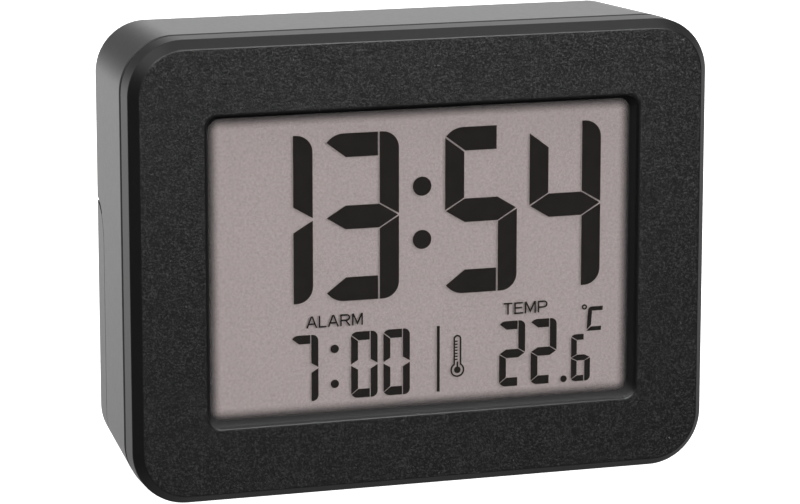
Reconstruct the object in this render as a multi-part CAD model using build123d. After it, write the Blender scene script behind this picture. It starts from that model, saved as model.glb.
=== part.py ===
from build123d import *
import os

# Desk alarm clock with a liquid crystal display, as an assembly of separate pieces.
# Millimetres. X runs to the right, Y from the face to the back, Z up from the table.
# A depth is measured from the face towards the back.

# Window and the frame round it
window_width = 77.0
window_height = 53.1
window_corner_radius = 2.2
window_bevel_inset = 0.95
window_bevel_depth = 2.2
window_lip_radius = 0.45
window_depth = 2.5
bezel_side = 14.0
bezel_end = 13.95
corner_radius = 9.65
bevel_inset = 1.55
bevel_depth = 1.9
bevel_softness = 0.4
frame_depth = 6.9
frame_plate = 2.2
rim_width = 2.75
wall = 2.0

# Joint between the front frame and the rear shell
parting_gap = 1.3
parting_softness = 0.3
tongue_length = 1.6
rebate_wall = 0.95
fit_gap = 0.12

# Draft and edges of the rear shell
rear_inset_side = 1.95
rear_inset_top = 0.96
rear_inset_base = 1.8
rear_corner_radius = 9.0
rear_edge_radius = 1.5
panel_wall = 1.8
panel_recess = 1.2

# Layers of the display, the board and the battery well, from front to back
lens_thickness = 2.1
lens_overlap = 1.75
polarizer_thickness = 0.2
polarizer_overlap = 1.45
glass_thickness = 0.7
glass_overlap = 1.75
glass_ledge = 2.0
cell_gap = 0.1
seal_width = 0.6
reflector_thickness = 0.25
holder_plate = 1.2
holder_wall = 1.0
holder_corner_radius = 2.0
zebra_thickness = 1.4
board_standoff = 2.25
board_thickness = 1.4
board_edge_gap = 1.0
board_pillar_gap = 2.2
board_strip_margin = 1.3
component_room = 5.6
well_floor = 1.2
well_wall = 1.2

# Battery cells and their contacts
cell_diameter = 14.5
cell_length = 50.5
cell_clearance = 0.35
cell_spacing = 1.0
cell_edge_radius = 0.6
nub_diameter = 5.5
nub_length = 1.0
contact_room = 2.6
contact_thickness = 0.4
contact_width = 9.0
contact_tip = 4.0
leaf_reach = 9.0
leaf_flat = 3.0
leaf_width = 5.0
tail_width = 3.0
tail_length = 1.6

# Battery cover
cover_wall = 1.6
cover_depth = 7.6
cover_corner_radius = 6.8
cover_gap = 0.3
seam_step = 0.5
seam_drop = 1.5
peg_radius = 2.0
peg_reach = 2.3
peg_chamfer = 0.7
peg_spread = 26.0
finger_groove_radius = 2.6
finger_groove_length = 18.0
finger_groove_set_back = 1.2

# Fasteners
case_boss_inset_side = 8.1
case_boss_inset_end = 6.2
case_boss_radius = 3.0
pillar_radius = 3.5
screw_seat = 2.6
screw_radius = 1.3
screw_length = 7.0
screw_head_radius = 2.3
screw_head_height = 1.8
screw_slot_width = 0.7
screw_slot_depth = 0.8
screw_clearance = 0.2
screw_slot_length = 3.0
screw_head_softness = 0.6
board_boss_radius = 2.4
board_boss_rise = 20.0
board_screw_radius = 0.9
board_screw_length = 5.0
board_screw_head_radius = 1.9
board_screw_head_height = 1.2
board_screw_slot_length = 2.4
board_screw_head_softness = 0.4

# Keys on the back
row_keys = ("time_button", "alarm_button", "up_button", "down_button")
key_pitch = 12.0
key_row_offset = 5.6
key_margin = 3.0
key_radius = 3.75
key_below_back = 0.2
key_travel = 0.5
key_edge_radius = 0.5
key_flange = 1.1
key_flange_thickness = 1.0
key_flange_gap = 0.15
key_hole_gap = 0.25
snooze_length = 30.0
snooze_width = 6.6
panel_end_margin = 1.65
panel_corner_radius = 2.5
switch_size = 6.0
switch_height = 3.4
switch_bore_depth = 2.4
plunger_radius = 1.75
plunger_clearance = 0.2
plunger_stop_gap = 0.4
plunger_clear = 0.8
key_board_thickness = 1.2
key_board_margin = 1.9
key_board_end_gap = 3.49
key_post_radius = 2.2
key_post_out = 1.0

# Slide switch for the alarm
slider_length = 3.0
slider_width = 1.8
slider_travel = 3.0
slider_clearance = 0.3
slider_floor = 0.2
slider_below_back = 0.3
slide_body_wall = 1.0
slide_body_height = 3.5
slide_slot_depth = 2.5
slide_gap = 2.0
slider_softness = 0.3

# Buzzer
buzzer_radius = 10.0
buzzer_ceramic_radius = 7.0
buzzer_plate_thickness = 0.3
buzzer_ceramic_thickness = 0.25
buzzer_rib_width = 1.5
buzzer_rib_height = 1.0
buzzer_side_gap = 4.5
sound_hole_radius = 0.8
sound_hole_circle = 4.0
sound_hole_count = 6

# Parts on the main board
blob_radius = 6.0
blob_height = 1.6
blob_softness = 1.0
crystal_radius = 1.0
crystal_length = 6.0
crystal_x = 20.0
thermistor_radius = 1.1
thermistor_x = -32.0
thermistor_rise = 2.4
thermistor_leg_radius = 0.25
thermistor_leg_spacing = 1.1
capacitor_radius = 2.5
capacitor_height = 5.0
capacitor_softness = 0.3
capacitor_x = -24.0
chip_length = 2.0
chip_width = 1.25
chip_height = 0.8
chip_count = 8
chip_pitch = 4.0
part_row_drop = 14.6
chip_row_drop = 6.1

# Leads and ribbon
lead_radius = 0.45
lead_spacing = 3.0
lead_sidestep = 4.0
lead_end_run = 1.0
ribbon_width = 10.0
ribbon_thickness = 0.5
ribbon_step = 6.0
ribbon_end_run = 3.0

# Rubber feet
foot_length = 12.0
foot_depth = 6.0
foot_seat = 2.0
foot_side_inset = 22.0
foot_front = 18.0
foot_edge_radius = 0.4

# Digits and marks of the display. The time fills the window between its margins, and the lower row
# runs leftwards from the window's right edge.
time_text = "1354"
time_margin_left = 6.23
time_margin_right = 4.23
display_margin_top = 4.26
display_margin_bottom = 1.55
row_gap = 5.67
time_side = 3.5
time_bar = 4.2
time_spacing = 2.36
colon_room = 4.25
colon_radius = 1.7
colon_half_rise = 4.75
small_width = 4.85
small_height = 11.9
small_side = 1.25
small_bar = 1.55
small_spacing = 1.1
alarm_gap = 5.3
alarm_colon_room = 3.0
alarm_colon_radius = 0.75
alarm_colon_half_rise = 3.15
point_radius = 0.6
point_room = 1.4
tenth_width = 3.6
tenth_height = 8.6
tenth_stroke = 1.05
tenth_overlap = 0.7
unit_margin_right = 3.5
unit_width = 2.75
unit_height = 4.4
unit_lean = 0.3
unit_stroke = 0.75
unit_gap = 0.5
unit_split = 0.3
unit_foot_width = 2.7
degree_radius = 0.49
degree_hole = 0.23
degree_side_step = 0.45
degree_gap = 0.0
segment_gap = 0.35
small_segment_gap = 0.2
bar_tip_drop = 0.37
bar_arch_start = 0.12
bar_arch_radius = 0.29
shoulder_radius = 0.85
divider_gap = 3.55
divider_width = 0.5
thermometer_gap = 7.85
thermometer_bulb_radius = 1.3
thermometer_bulb_rise = 3.7
thermometer_stem_width = 1.45
thermometer_height = 10.05
thermometer_line = 0.28
thermometer_core_radius = 0.6
thermometer_core_rise = 5.2
thermometer_tick_count = 7
thermometer_tick_length = 0.75
thermometer_tick_width = 0.22

# Largest difference between two places that count as the same
same_place = 1e-3

# Depths that follow from the sizes above
lens_front = window_depth
polarizer_front = lens_front + lens_thickness
front_glass_front = polarizer_front + polarizer_thickness
segment_front = front_glass_front + glass_thickness
rear_glass_front = segment_front + cell_gap
reflector_front = rear_glass_front + glass_thickness
holder_plate_front = reflector_front + reflector_thickness
holder_plate_back = holder_plate_front + holder_plate
board_front = holder_plate_back + board_standoff
board_back = board_front + board_thickness
well_front = board_back + component_room
well_inside = well_front + well_floor
cell_depth = well_inside + cell_clearance + cell_diameter / 2
case_depth = cell_depth + cell_diameter / 2 + cell_clearance + cover_wall
shell_front = frame_depth + parting_gap
cavity_back = case_depth - panel_recess - panel_wall
cover_front = case_depth - cover_depth
ledge_back = cover_front - cover_gap
ledge_front = ledge_back - panel_wall
well_back = cell_depth + contact_width / 2
cover_inside = case_depth - cover_wall
peg_tip = ledge_front - peg_reach
screw_seat_depth = shell_front + screw_seat
key_flange_back = cavity_back - key_flange_gap
key_flange_front = key_flange_back - key_flange_thickness
key_board_back = key_flange_front - switch_height - key_travel - plunger_clear
key_board_front = key_board_back - key_board_thickness
buzzer_plate_back = cavity_back - buzzer_rib_height
buzzer_plate_front = buzzer_plate_back - buzzer_plate_thickness
buzzer_ceramic_front = buzzer_plate_front - buzzer_ceramic_thickness

# Widths and heights that follow
case_width = window_width + 2 * bezel_side
case_height = window_height + 2 * bezel_end
mid_height = case_height / 2
glass_width = window_width + 2 * glass_overlap
rear_glass_height = window_height + 2 * glass_overlap
front_glass_height = rear_glass_height + 2 * glass_ledge
holder_width = glass_width + 2 * (fit_gap + holder_wall)
holder_height = front_glass_height + 2 * (fit_gap + holder_wall)
inner_half_width = case_width / 2 - wall
board_boss_x = (holder_width / 2 + inner_half_width) / 2
case_boss_x = case_width / 2 - case_boss_inset_side
case_boss_z = (case_boss_inset_end, case_height - case_boss_inset_end)
board_boss_z = (mid_height - board_boss_rise, mid_height + board_boss_rise)
well_width = cell_length + 2 * contact_room
well_height = 2 * cell_diameter + cell_spacing + 2 * cell_clearance
cell_rise = (cell_diameter + cell_spacing) / 2
peg_x = (well_width / 2 + well_wall + inner_half_width - rear_inset_side) / 2
slide_slot_length = slider_length + slider_travel + 2 * slider_clearance
slide_slot_width = slider_width + 2 * slider_clearance
slide_body_length = slide_slot_length + 2 * slide_body_wall
key_row_width = (len(row_keys) - 1) * key_pitch + 2 * key_radius
upper_row_width = snooze_length + key_flange + slide_gap + slide_body_length
panel_width = max(key_row_width, upper_row_width) + 2 * key_margin
panel_height = 2 * (key_row_offset + key_radius + panel_end_margin)
key_board_height = 2 * (key_row_offset + switch_size / 2 + key_board_margin)
panel_top = case_height - rear_inset_top - wall
step_top = panel_top - key_board_height - 2 * key_board_end_gap
panel_middle = (step_top + panel_top) / 2
cover_height = step_top - panel_wall - cover_gap
well_middle = cover_height / 2
controls_width = panel_width + buzzer_side_gap + 2 * buzzer_radius
panel_x = (panel_width - controls_width) / 2
buzzer_x = controls_width / 2 - buzzer_radius
key_row_z = panel_middle - key_row_offset
upper_row_z = panel_middle + key_row_offset
first_key_x = panel_x - (len(row_keys) - 1) * key_pitch / 2
key_x = [first_key_x + index * key_pitch for index in range(len(row_keys))]
snooze_x = panel_x - (upper_row_width - snooze_length) / 2
slide_x = panel_x + (upper_row_width - slide_body_length) / 2
zebra_offset = (rear_glass_height + glass_ledge) / 2
board_height = 2 * (zebra_offset + board_strip_margin) + zebra_thickness
board_side_height = case_height - 2 * (case_boss_inset_end + pillar_radius + board_pillar_gap)
board_middle_width = 2 * (case_boss_x - pillar_radius - board_pillar_gap)
part_row_z = mid_height + board_height / 2 - part_row_drop
chip_row_z = mid_height + board_height / 2 - chip_row_drop

# Places on the display that follow, across from the middle of the window
time_gaps = 2 * (time_spacing + colon_room)
time_width = (window_width - time_margin_left - time_margin_right - time_gaps) / len(time_text)
time_height = window_height - display_margin_top - row_gap - small_height - display_margin_bottom
time_foot = mid_height + window_height / 2 - display_margin_top - time_height
colon_x = (time_margin_left - time_margin_right) / 2
small_foot = mid_height - window_height / 2 + display_margin_bottom
unit_left = window_width / 2 - unit_margin_right - unit_width - unit_lean
unit_foot = small_foot + tenth_height + unit_gap
degree_x = unit_left - degree_side_step
tenth_left = unit_left + tenth_overlap - tenth_width
temperature_right = tenth_left - 2 * point_room
temperature_left = temperature_right - 2 * small_width - small_spacing
thermometer_x = temperature_left - thermometer_gap
divider_x = thermometer_x - divider_gap
alarm_right = divider_x - alarm_gap


def y_at(depth):
    """Place along Y of a depth behind the face."""
    return depth - case_depth / 2


def face_plane(depth):
    """Plane parallel to the face, with X to the right and Z up."""
    return Plane(origin=(0, y_at(depth), 0), x_dir=(1, 0, 0), z_dir=(0, -1, 0))


def slab(sketch, front, thickness):
    """Sketch in X and Z, given thickness towards the back."""
    return extrude(face_plane(front) * sketch, thickness, dir=(0, 1, 0))


def disc(radius, front, thickness, x, z):
    return slab(Pos(x, z) * Circle(radius), front, thickness)


def plate(width, height, front, thickness, x=0.0, z=mid_height, radius=0.0):
    if radius > 0:
        return slab(Pos(x, z) * RectangleRounded(width, height, radius), front, thickness)
    return slab(Pos(x, z) * Rectangle(width, height), front, thickness)


def outline(depth, inset):
    """Rounded rectangle of the case at a depth, drawn in by the draft and by an inset."""
    share = max(0.0, depth - frame_depth) / (case_depth - frame_depth)
    width = case_width - 2 * (rear_inset_side * share + inset)
    top = case_height - rear_inset_top * share - inset
    base = rear_inset_base * share + inset
    radius = corner_radius + (rear_corner_radius - corner_radius) * share - inset
    return Pos(0, (base + top) / 2) * RectangleRounded(width, top - base, radius)


def hull(front, back, inset):
    """Drafted block of the case between two depths."""
    ends = [face_plane(depth) * outline(depth, inset) for depth in (front, back)]
    return loft(ends, ruled=True)


def rear_block():
    """Whole outer form of the rear half, with its soft edges."""
    block = hull(shell_front, case_depth, 0)
    block = fillet(block.faces().sort_by(Axis.Y)[-1].edges(), rear_edge_radius)
    return fillet(block.faces().sort_by(Axis.Y)[0].edges(), parting_softness)


def cover_zone(grow):
    """Space of the battery cover: the lower back, with a rounded upper front corner."""
    front = y_at(cover_front - grow)
    back = y_at(case_depth) + case_depth
    top = cover_height + grow
    size = (2 * case_width, back - front, top + case_height)
    block = Pos(0, (front + back) / 2, top - size[2] / 2) * Box(*size)
    edges = block.edges().filter_by(Axis.X)
    corner = edges.sort_by(lambda edge: edge.center().Y - edge.center().Z)[0]
    return fillet(corner, cover_corner_radius + grow)


def finger_groove():
    """Round groove across the cover's top edge, for a fingertip."""
    depth = case_depth + finger_groove_set_back
    bar = Rot(0, 90, 0) * Cylinder(finger_groove_radius, finger_groove_length)
    return Pos(0, y_at(depth), cover_height + cover_gap / 2) * bar


def case_boss_places():
    return [(side * case_boss_x, z) for side in (-1, 1) for z in case_boss_z]


def board_boss_places():
    return [(side * board_boss_x, z) for side in (-1, 1) for z in board_boss_z]


def key_post_places():
    reach = panel_width / 2 + key_post_out
    return [(panel_x + side * reach, panel_middle) for side in (-1, 1)]


def make_front_frame():
    face = RectangleRounded(
        case_width - 2 * bevel_inset, case_height - 2 * bevel_inset, corner_radius - bevel_inset
    )
    face = face_plane(0) * Pos(0, mid_height) * face
    bevel = loft([face, face_plane(bevel_depth) * outline(0, 0)], ruled=True)
    frame = bevel + slab(outline(0, 0), bevel_depth, frame_depth - bevel_depth)
    soft_edges = [
        edge
        for edge in frame.edges()
        if min(abs(edge.center().Y - y_at(0)), abs(edge.center().Y - y_at(bevel_depth))) < same_place
    ]
    frame = fillet(soft_edges, bevel_softness)
    frame = fillet(frame.faces().sort_by(Axis.Y)[-1].edges(), parting_softness)
    # Hollow behind the plate, with a rim round the window that seats the lens
    frame -= slab(outline(0, wall), frame_plate, frame_depth)
    frame -= slab(outline(0, rebate_wall), frame_depth - tongue_length, frame_depth)
    rim = plate(
        window_width + 2 * rim_width,
        window_height + 2 * rim_width,
        frame_plate,
        window_depth - frame_plate,
        radius=window_corner_radius,
    )
    frame += rim
    frame -= plate(window_width, window_height, 0, window_depth, radius=window_corner_radius)
    # Bevel that slopes down to the window on all four sides
    mouth_width = window_width + 2 * window_bevel_inset
    mouth_height = window_height + 2 * window_bevel_inset
    mouth = Pos(0, mid_height) * RectangleRounded(mouth_width, mouth_height, window_corner_radius)
    throat = Pos(0, mid_height) * RectangleRounded(window_width, window_height, window_corner_radius)
    frame -= loft([face_plane(0) * mouth, face_plane(window_bevel_depth) * throat], ruled=True)
    lip = [
        edge
        for edge in frame.edges()
        if abs(edge.center().Y - y_at(0)) < same_place
        and abs(edge.center().X) < mouth_width / 2 + same_place
        and abs(edge.center().Z - mid_height) < mouth_height / 2 + same_place
    ]
    frame = fillet(lip, window_lip_radius)
    for x, z in case_boss_places():
        boss = disc(case_boss_radius, frame_plate, shell_front - frame_plate, x, z)
        pilot_depth = screw_seat_depth - screw_length - screw_clearance
        pilot = disc(screw_radius + fit_gap, pilot_depth, shell_front - pilot_depth, x, z)
        frame = frame + boss - pilot
    for x, z in board_boss_places():
        boss = disc(board_boss_radius, frame_plate, board_front - frame_plate, x, z)
        pilot_depth = board_back - board_screw_length - screw_clearance
        pilot = disc(board_screw_radius + fit_gap, pilot_depth, board_front - pilot_depth, x, z)
        frame = frame + boss - pilot
    return frame


def make_rear_shell(block):
    shell = block - hull(shell_front, cavity_back, wall)
    shell += block & cover_zone(cover_gap + panel_wall)
    # Tongue that reaches into the front frame and darkens the parting groove
    tongue_front = frame_depth - tongue_length + fit_gap
    tongue_reach = shell_front + wall - tongue_front
    tongue = slab(outline(0, rebate_wall + fit_gap), tongue_front, tongue_reach)
    shell += tongue - slab(outline(0, wall), tongue_front, tongue_reach)
    # Battery well
    well_size = (well_width + 2 * well_wall, well_height + 2 * well_wall)
    shell += plate(*well_size, well_front, ledge_back - well_front, z=well_middle)
    for x, z in case_boss_places():
        shell += disc(pillar_radius, shell_front, ledge_back - shell_front, x, z)
    for z in case_boss_z[1:]:
        for side in (-1, 1):
            shell += disc(pillar_radius, shell_front, cavity_back - shell_front, side * case_boss_x, z)
    shell -= cover_zone(cover_gap)
    shell += plate(*well_size, ledge_back, well_back - ledge_back, z=well_middle)
    shell -= plate(well_width, well_height, well_inside, case_depth, z=well_middle)
    shell -= seam_notch(block)
    shell -= finger_groove()
    for x, z in case_boss_places():
        shell -= disc(screw_radius + screw_clearance, shell_front, screw_seat, x, z)
        shell -= disc(screw_head_radius + screw_clearance, screw_seat_depth, case_depth, x, z)
    for x, z in peg_places():
        shell -= disc(peg_radius + fit_gap, ledge_front, panel_wall, x, z)
    for x, z in contact_tail_places():
        slot = (contact_thickness + 2 * fit_gap, tail_width + 2 * fit_gap)
        shell -= plate(slot[0], slot[1], well_front, well_floor, x=x, z=z)
    shell = add_key_panel(shell)
    shell = add_buzzer_seat(shell)
    for foot in feet():
        shell -= foot
    return shell


def seam_notch(block):
    """Small step in the shell's outer edge along the top of the cover, on the back and both sides."""
    skin = block - hull(shell_front, case_depth - seam_step, seam_step)
    above = Box(2 * case_width, 2 * case_depth, case_height)
    above = Pos(0, 0, cover_height - seam_drop + case_height / 2) * above
    return skin & cover_zone(cover_gap + seam_step) & above


def add_key_panel(shell):
    recess_front = case_depth - panel_recess
    shell -= plate(
        panel_width, panel_height, recess_front, panel_recess, panel_x, panel_middle, panel_corner_radius
    )
    for x, z in key_post_places():
        post = disc(key_post_radius, key_board_back, cavity_back - key_board_back, x, z)
        pilot_length = board_screw_length - key_board_thickness + screw_clearance
        shell += post - disc(board_screw_radius + fit_gap, key_board_back, pilot_length, x, z)
    for x in key_x:
        shell -= disc(key_radius + key_hole_gap, cavity_back, panel_wall, x, key_row_z)
    hole = (snooze_length + 2 * key_hole_gap, snooze_width + 2 * key_hole_gap)
    radius = snooze_width / 2 + key_hole_gap - fit_gap
    shell -= plate(hole[0], hole[1], cavity_back, panel_wall, snooze_x, upper_row_z, radius)
    return shell - plate(
        slide_slot_length, slide_slot_width, cavity_back, panel_wall, slide_x, upper_row_z
    )


def add_buzzer_seat(shell):
    rib = disc(buzzer_radius, buzzer_plate_back, buzzer_rib_height, buzzer_x, panel_middle)
    shell += rib - disc(
        buzzer_radius - buzzer_rib_width, buzzer_plate_back, buzzer_rib_height, buzzer_x, panel_middle
    )
    through = case_depth - cavity_back
    shell -= disc(sound_hole_radius, cavity_back, through, buzzer_x, panel_middle)
    for spot in PolarLocations(sound_hole_circle, sound_hole_count):
        x = buzzer_x + spot.position.X
        z = panel_middle + spot.position.Y
        shell -= disc(sound_hole_radius, cavity_back, through, x, z)
    return shell


def peg_places():
    return [(side * peg_x, well_middle + up * peg_spread / 2) for side in (-1, 1) for up in (-1, 1)]


def make_battery_cover(block):
    cover = block & cover_zone(0)
    hollow = hull(shell_front, cover_inside, cover_wall)
    below = Pos(0, 0, cover_height - cover_wall - case_height / 2)
    cover -= hollow & (below * Box(2 * case_width, 2 * case_depth, case_height))
    for x, z in peg_places():
        peg = disc(peg_radius, peg_tip, cover_inside - peg_tip, x, z)
        tip = peg.faces().sort_by(Axis.Y)[0]
        cover += chamfer(tip.edges(), peg_chamfer)
    return cover - finger_groove()


def feet():
    """Two pads let into the base of the rear shell, level with the front frame's base."""
    pads = []
    for side in (-1, 1):
        x = side * (case_width / 2 - foot_side_inset)
        y = y_at(foot_front + foot_depth / 2)
        pad = Pos(x, y, foot_seat / 2) * Box(foot_length, foot_depth, foot_seat)
        pads.append(fillet(pad.edges().filter_by(Axis.Z), foot_edge_radius))
    return pads


def make_display():
    """Layers of the display, by node name."""
    width = window_width + 2 * polarizer_overlap
    height = window_height + 2 * polarizer_overlap
    seal = plate(glass_width, rear_glass_height, segment_front, cell_gap)
    seal -= plate(
        glass_width - 2 * seal_width, rear_glass_height - 2 * seal_width, segment_front, cell_gap
    )
    return {
        "lcd_front_polarizer": plate(width, height, polarizer_front, polarizer_thickness),
        "lcd_front_glass": plate(glass_width, front_glass_height, front_glass_front, glass_thickness),
        "lcd_edge_seal": seal,
        "lcd_rear_glass": plate(glass_width, rear_glass_height, rear_glass_front, glass_thickness),
        "lcd_reflector": plate(width, height, reflector_front, reflector_thickness),
    }


def zebra_slots():
    """Middle height of the upper and lower contact strips."""
    return {
        "zebra_strip_upper": mid_height + zebra_offset,
        "zebra_strip_lower": mid_height - zebra_offset,
    }


def make_lcd_holder():
    holder = plate(
        holder_width, holder_height, front_glass_front, board_front - front_glass_front,
        radius=holder_corner_radius,
    )
    pocket = (glass_width + 2 * fit_gap, front_glass_height + 2 * fit_gap)
    holder -= plate(pocket[0], pocket[1], front_glass_front, segment_front - front_glass_front)
    rear_pocket = (glass_width + 2 * fit_gap, rear_glass_height + 2 * fit_gap)
    holder -= plate(
        rear_pocket[0], rear_pocket[1], segment_front, holder_plate_front - segment_front
    )
    hollow = (holder_width - 2 * holder_wall, rear_glass_height - 2 * holder_wall)
    holder -= plate(hollow[0], hollow[1], holder_plate_back, board_standoff)
    for z in zebra_slots().values():
        holder -= plate(
            glass_width, zebra_thickness + 2 * fit_gap, segment_front, board_front - segment_front, z=z
        )
    return holder


def make_zebra_strips():
    length = window_width
    depth = board_front - segment_front
    return {
        name: plate(length, zebra_thickness, segment_front, depth, z=z)
        for name, z in zebra_slots().items()
    }


def make_circuit_board():
    draft = rear_inset_side * (board_back - frame_depth) / (case_depth - frame_depth)
    width = 2 * (inner_half_width - draft - board_edge_gap)
    board = plate(width, board_side_height, board_front, board_thickness)
    # The middle reaches past the contact strips, and the corners stay clear of the case's pillars
    board += plate(board_middle_width, board_height, board_front, board_thickness)
    for x, z in board_boss_places():
        board -= disc(board_screw_radius + screw_clearance, board_front, board_thickness, x, z)
    return board


def make_board_parts():
    """Components on the back of the main board, by node name."""
    row = part_row_z
    blob = disc(blob_radius, board_back, blob_height, 0, row)
    blob_rim = blob.faces().sort_by(Axis.Y)[-1].edges()
    can = disc(capacitor_radius, board_back, capacitor_height, capacitor_x, row)
    crystal = Pos(crystal_x, y_at(board_back + crystal_radius), row) * Rot(0, 90, 0)
    crystal = crystal * Cylinder(crystal_radius, crystal_length)
    legs_reach = thermistor_rise - thermistor_radius / 2
    bead = Pos(thermistor_x, y_at(board_back + thermistor_rise), row) * Sphere(thermistor_radius)
    for side in (-1, 1):
        leg_x = thermistor_x + side * thermistor_leg_spacing / 2
        bead += disc(thermistor_leg_radius, board_back, legs_reach, leg_x, row)
    first = -(chip_count - 1) / 2 * chip_pitch
    chips = [
        plate(
            chip_width, chip_length, board_back, chip_height,
            first + index * chip_pitch, chip_row_z,
        )
        for index in range(chip_count)
    ]
    return {
        "clock_chip_resin": fillet(blob_rim, blob_softness),
        "board_capacitor": fillet(can.faces().sort_by(Axis.Y)[-1].edges(), capacitor_softness),
        "quartz_crystal": crystal,
        "thermistor": bead,
        "board_chips": Compound(chips),
    }


def screw(size, seat, x, z, head_side):
    """Cross-slotted screw. head_side is 1 where its head faces the back, -1 where it faces the front."""
    shank_radius, length, head_radius, head_height, slot_length, softness = size
    if head_side > 0:
        shank = disc(shank_radius, seat - length, length, x, z)
        head = disc(head_radius, seat, head_height, x, z)
        end = head.faces().sort_by(Axis.Y)[-1]
        slot_front = seat + head_height - screw_slot_depth
    else:
        shank = disc(shank_radius, seat, length, x, z)
        head = disc(head_radius, seat - head_height, head_height, x, z)
        end = head.faces().sort_by(Axis.Y)[0]
        slot_front = seat - head_height
    body = shank + fillet(end.edges(), softness)
    body -= plate(slot_length, screw_slot_width, slot_front, screw_slot_depth, x, z)
    return body - plate(screw_slot_width, slot_length, slot_front, screw_slot_depth, x, z)


def make_screws():
    case_size = (
        screw_radius, screw_length, screw_head_radius, screw_head_height,
        screw_slot_length, screw_head_softness,
    )
    board_size = (
        board_screw_radius, board_screw_length, board_screw_head_radius, board_screw_head_height,
        board_screw_slot_length, board_screw_head_softness,
    )
    case = [screw(case_size, screw_seat_depth, x, z, 1) for x, z in case_boss_places()]
    board = [screw(board_size, board_back, x, z, 1) for x, z in board_boss_places()]
    key = [screw(board_size, key_board_front, x, z, -1) for x, z in key_post_places()]
    return {
        "case_screws": Compound(case),
        "board_screws": Compound(board),
        "key_board_screws": Compound(key),
    }


def make_key_board():
    width = panel_width + 2 * (key_post_out + key_post_radius)
    board = plate(width, key_board_height, key_board_front, key_board_thickness, panel_x, panel_middle)
    for x, z in key_post_places():
        board -= disc(board_screw_radius + screw_clearance, key_board_front, key_board_thickness, x, z)
    return board


def key_places():
    """Middle of each key, by button name."""
    places = {name: (x, key_row_z) for name, x in zip(row_keys, key_x)}
    places["snooze_button"] = (snooze_x, upper_row_z)
    return places


def make_key_switches():
    bodies = []
    for x, z in key_places().values():
        body = plate(switch_size, switch_size, key_board_back, switch_height, x, z)
        bore_front = key_board_back + switch_height - switch_bore_depth
        bodies.append(body - disc(plunger_radius + plunger_clearance, bore_front, switch_bore_depth, x, z))
    return Compound(bodies)


def make_plunger(x, z):
    foot = key_board_back + switch_height - switch_bore_depth + key_travel + plunger_stop_gap
    return disc(plunger_radius, foot, key_flange_front - foot, x, z)


def make_round_key(x, z):
    top = case_depth - key_below_back
    cap = disc(key_radius, key_flange_back, top - key_flange_back, x, z)
    cap = fillet(cap.faces().sort_by(Axis.Y)[-1].edges(), key_edge_radius)
    return cap + disc(key_radius + key_flange, key_flange_front, key_flange_thickness, x, z)


def make_snooze_key(x, z):
    top = case_depth - key_below_back
    radius = snooze_width / 2 - fit_gap
    cap = plate(snooze_length, snooze_width, key_flange_back, top - key_flange_back, x, z, radius)
    cap = fillet(cap.faces().sort_by(Axis.Y)[-1].edges(), key_edge_radius)
    length = snooze_length + 2 * key_flange
    width = snooze_width + 2 * key_flange
    return cap + plate(length, width, key_flange_front, key_flange_thickness, x, z, radius)


def make_keys():
    """Caps of the push buttons and the plungers under them, by node name."""
    nodes = {}
    for name, (x, z) in key_places().items():
        maker = make_snooze_key if name == "snooze_button" else make_round_key
        nodes[name] = maker(x, z)
        nodes[name.replace("button", "plunger")] = make_plunger(x, z)
    return nodes


def make_slide_switch():
    """Housing of the alarm switch and its knob, which rests at the left end of its travel."""
    body = plate(
        slide_body_length, slide_slot_width + 2 * slide_body_wall,
        key_board_back, slide_body_height, slide_x, upper_row_z,
    )
    slot_front = key_board_back + slide_body_height - slide_slot_depth
    body -= plate(slide_slot_length, slide_slot_width, slot_front, slide_slot_depth, slide_x, upper_row_z)
    foot = slot_front + slider_floor
    top = case_depth - slider_below_back
    knob_x = slide_x - slider_travel / 2
    knob = plate(slider_length, slider_width, foot, top - foot, knob_x, upper_row_z)
    knob = fillet(knob.faces().sort_by(Axis.Y)[-1].edges(), slider_softness)
    return {"alarm_switch_housing": body, "alarm_switch_knob": knob}


def make_buzzer():
    return {
        "buzzer_plate": disc(
            buzzer_radius, buzzer_plate_front, buzzer_plate_thickness, buzzer_x, panel_middle
        ),
        "buzzer_ceramic": disc(
            buzzer_ceramic_radius, buzzer_ceramic_front, buzzer_ceramic_thickness, buzzer_x, panel_middle
        ),
    }


def lead(start, end, x_start, x_end, z):
    """Round wire between two depths, with straight ends and a sidestep along X."""
    points = [
        (x_start, y_at(start), z),
        (x_start, y_at(start + lead_end_run), z),
        (x_end, y_at(end - lead_end_run), z),
        (x_end, y_at(end), z),
    ]
    path = FilletPolyline(*points, radius=lead_end_run)
    return sweep(face_plane(start) * Pos(x_start, z) * Circle(lead_radius), path=path)


def make_leads():
    ends = ((0, buzzer_ceramic_front), (buzzer_ceramic_radius + lead_spacing / 2, buzzer_plate_front))
    buzzer = [
        lead(board_back, end, buzzer_x + reach - lead_sidestep, buzzer_x + reach, panel_middle)
        for reach, end in ends
    ]
    tail_end = well_front - tail_length
    battery = [
        lead(board_back, tail_end, x - lead_sidestep, x, z) for x, z in contact_tail_places()
    ]
    return {
        "buzzer_leads": Compound(buzzer),
        "battery_lead_positive": battery[0],
        "battery_lead_negative": battery[1],
    }


def make_ribbon():
    """Flat ribbon between the two boards, stepped upwards half way."""
    low = panel_middle - ribbon_step / 2
    high = panel_middle + ribbon_step / 2
    points = [
        (panel_x, y_at(board_back), low),
        (panel_x, y_at(board_back + ribbon_end_run), low),
        (panel_x, y_at(key_board_front - ribbon_end_run), high),
        (panel_x, y_at(key_board_front), high),
    ]
    path = FilletPolyline(*points, radius=ribbon_end_run)
    section = face_plane(board_back) * Pos(panel_x, low) * Rectangle(ribbon_width, ribbon_thickness)
    return sweep(section, path=path)


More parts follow.
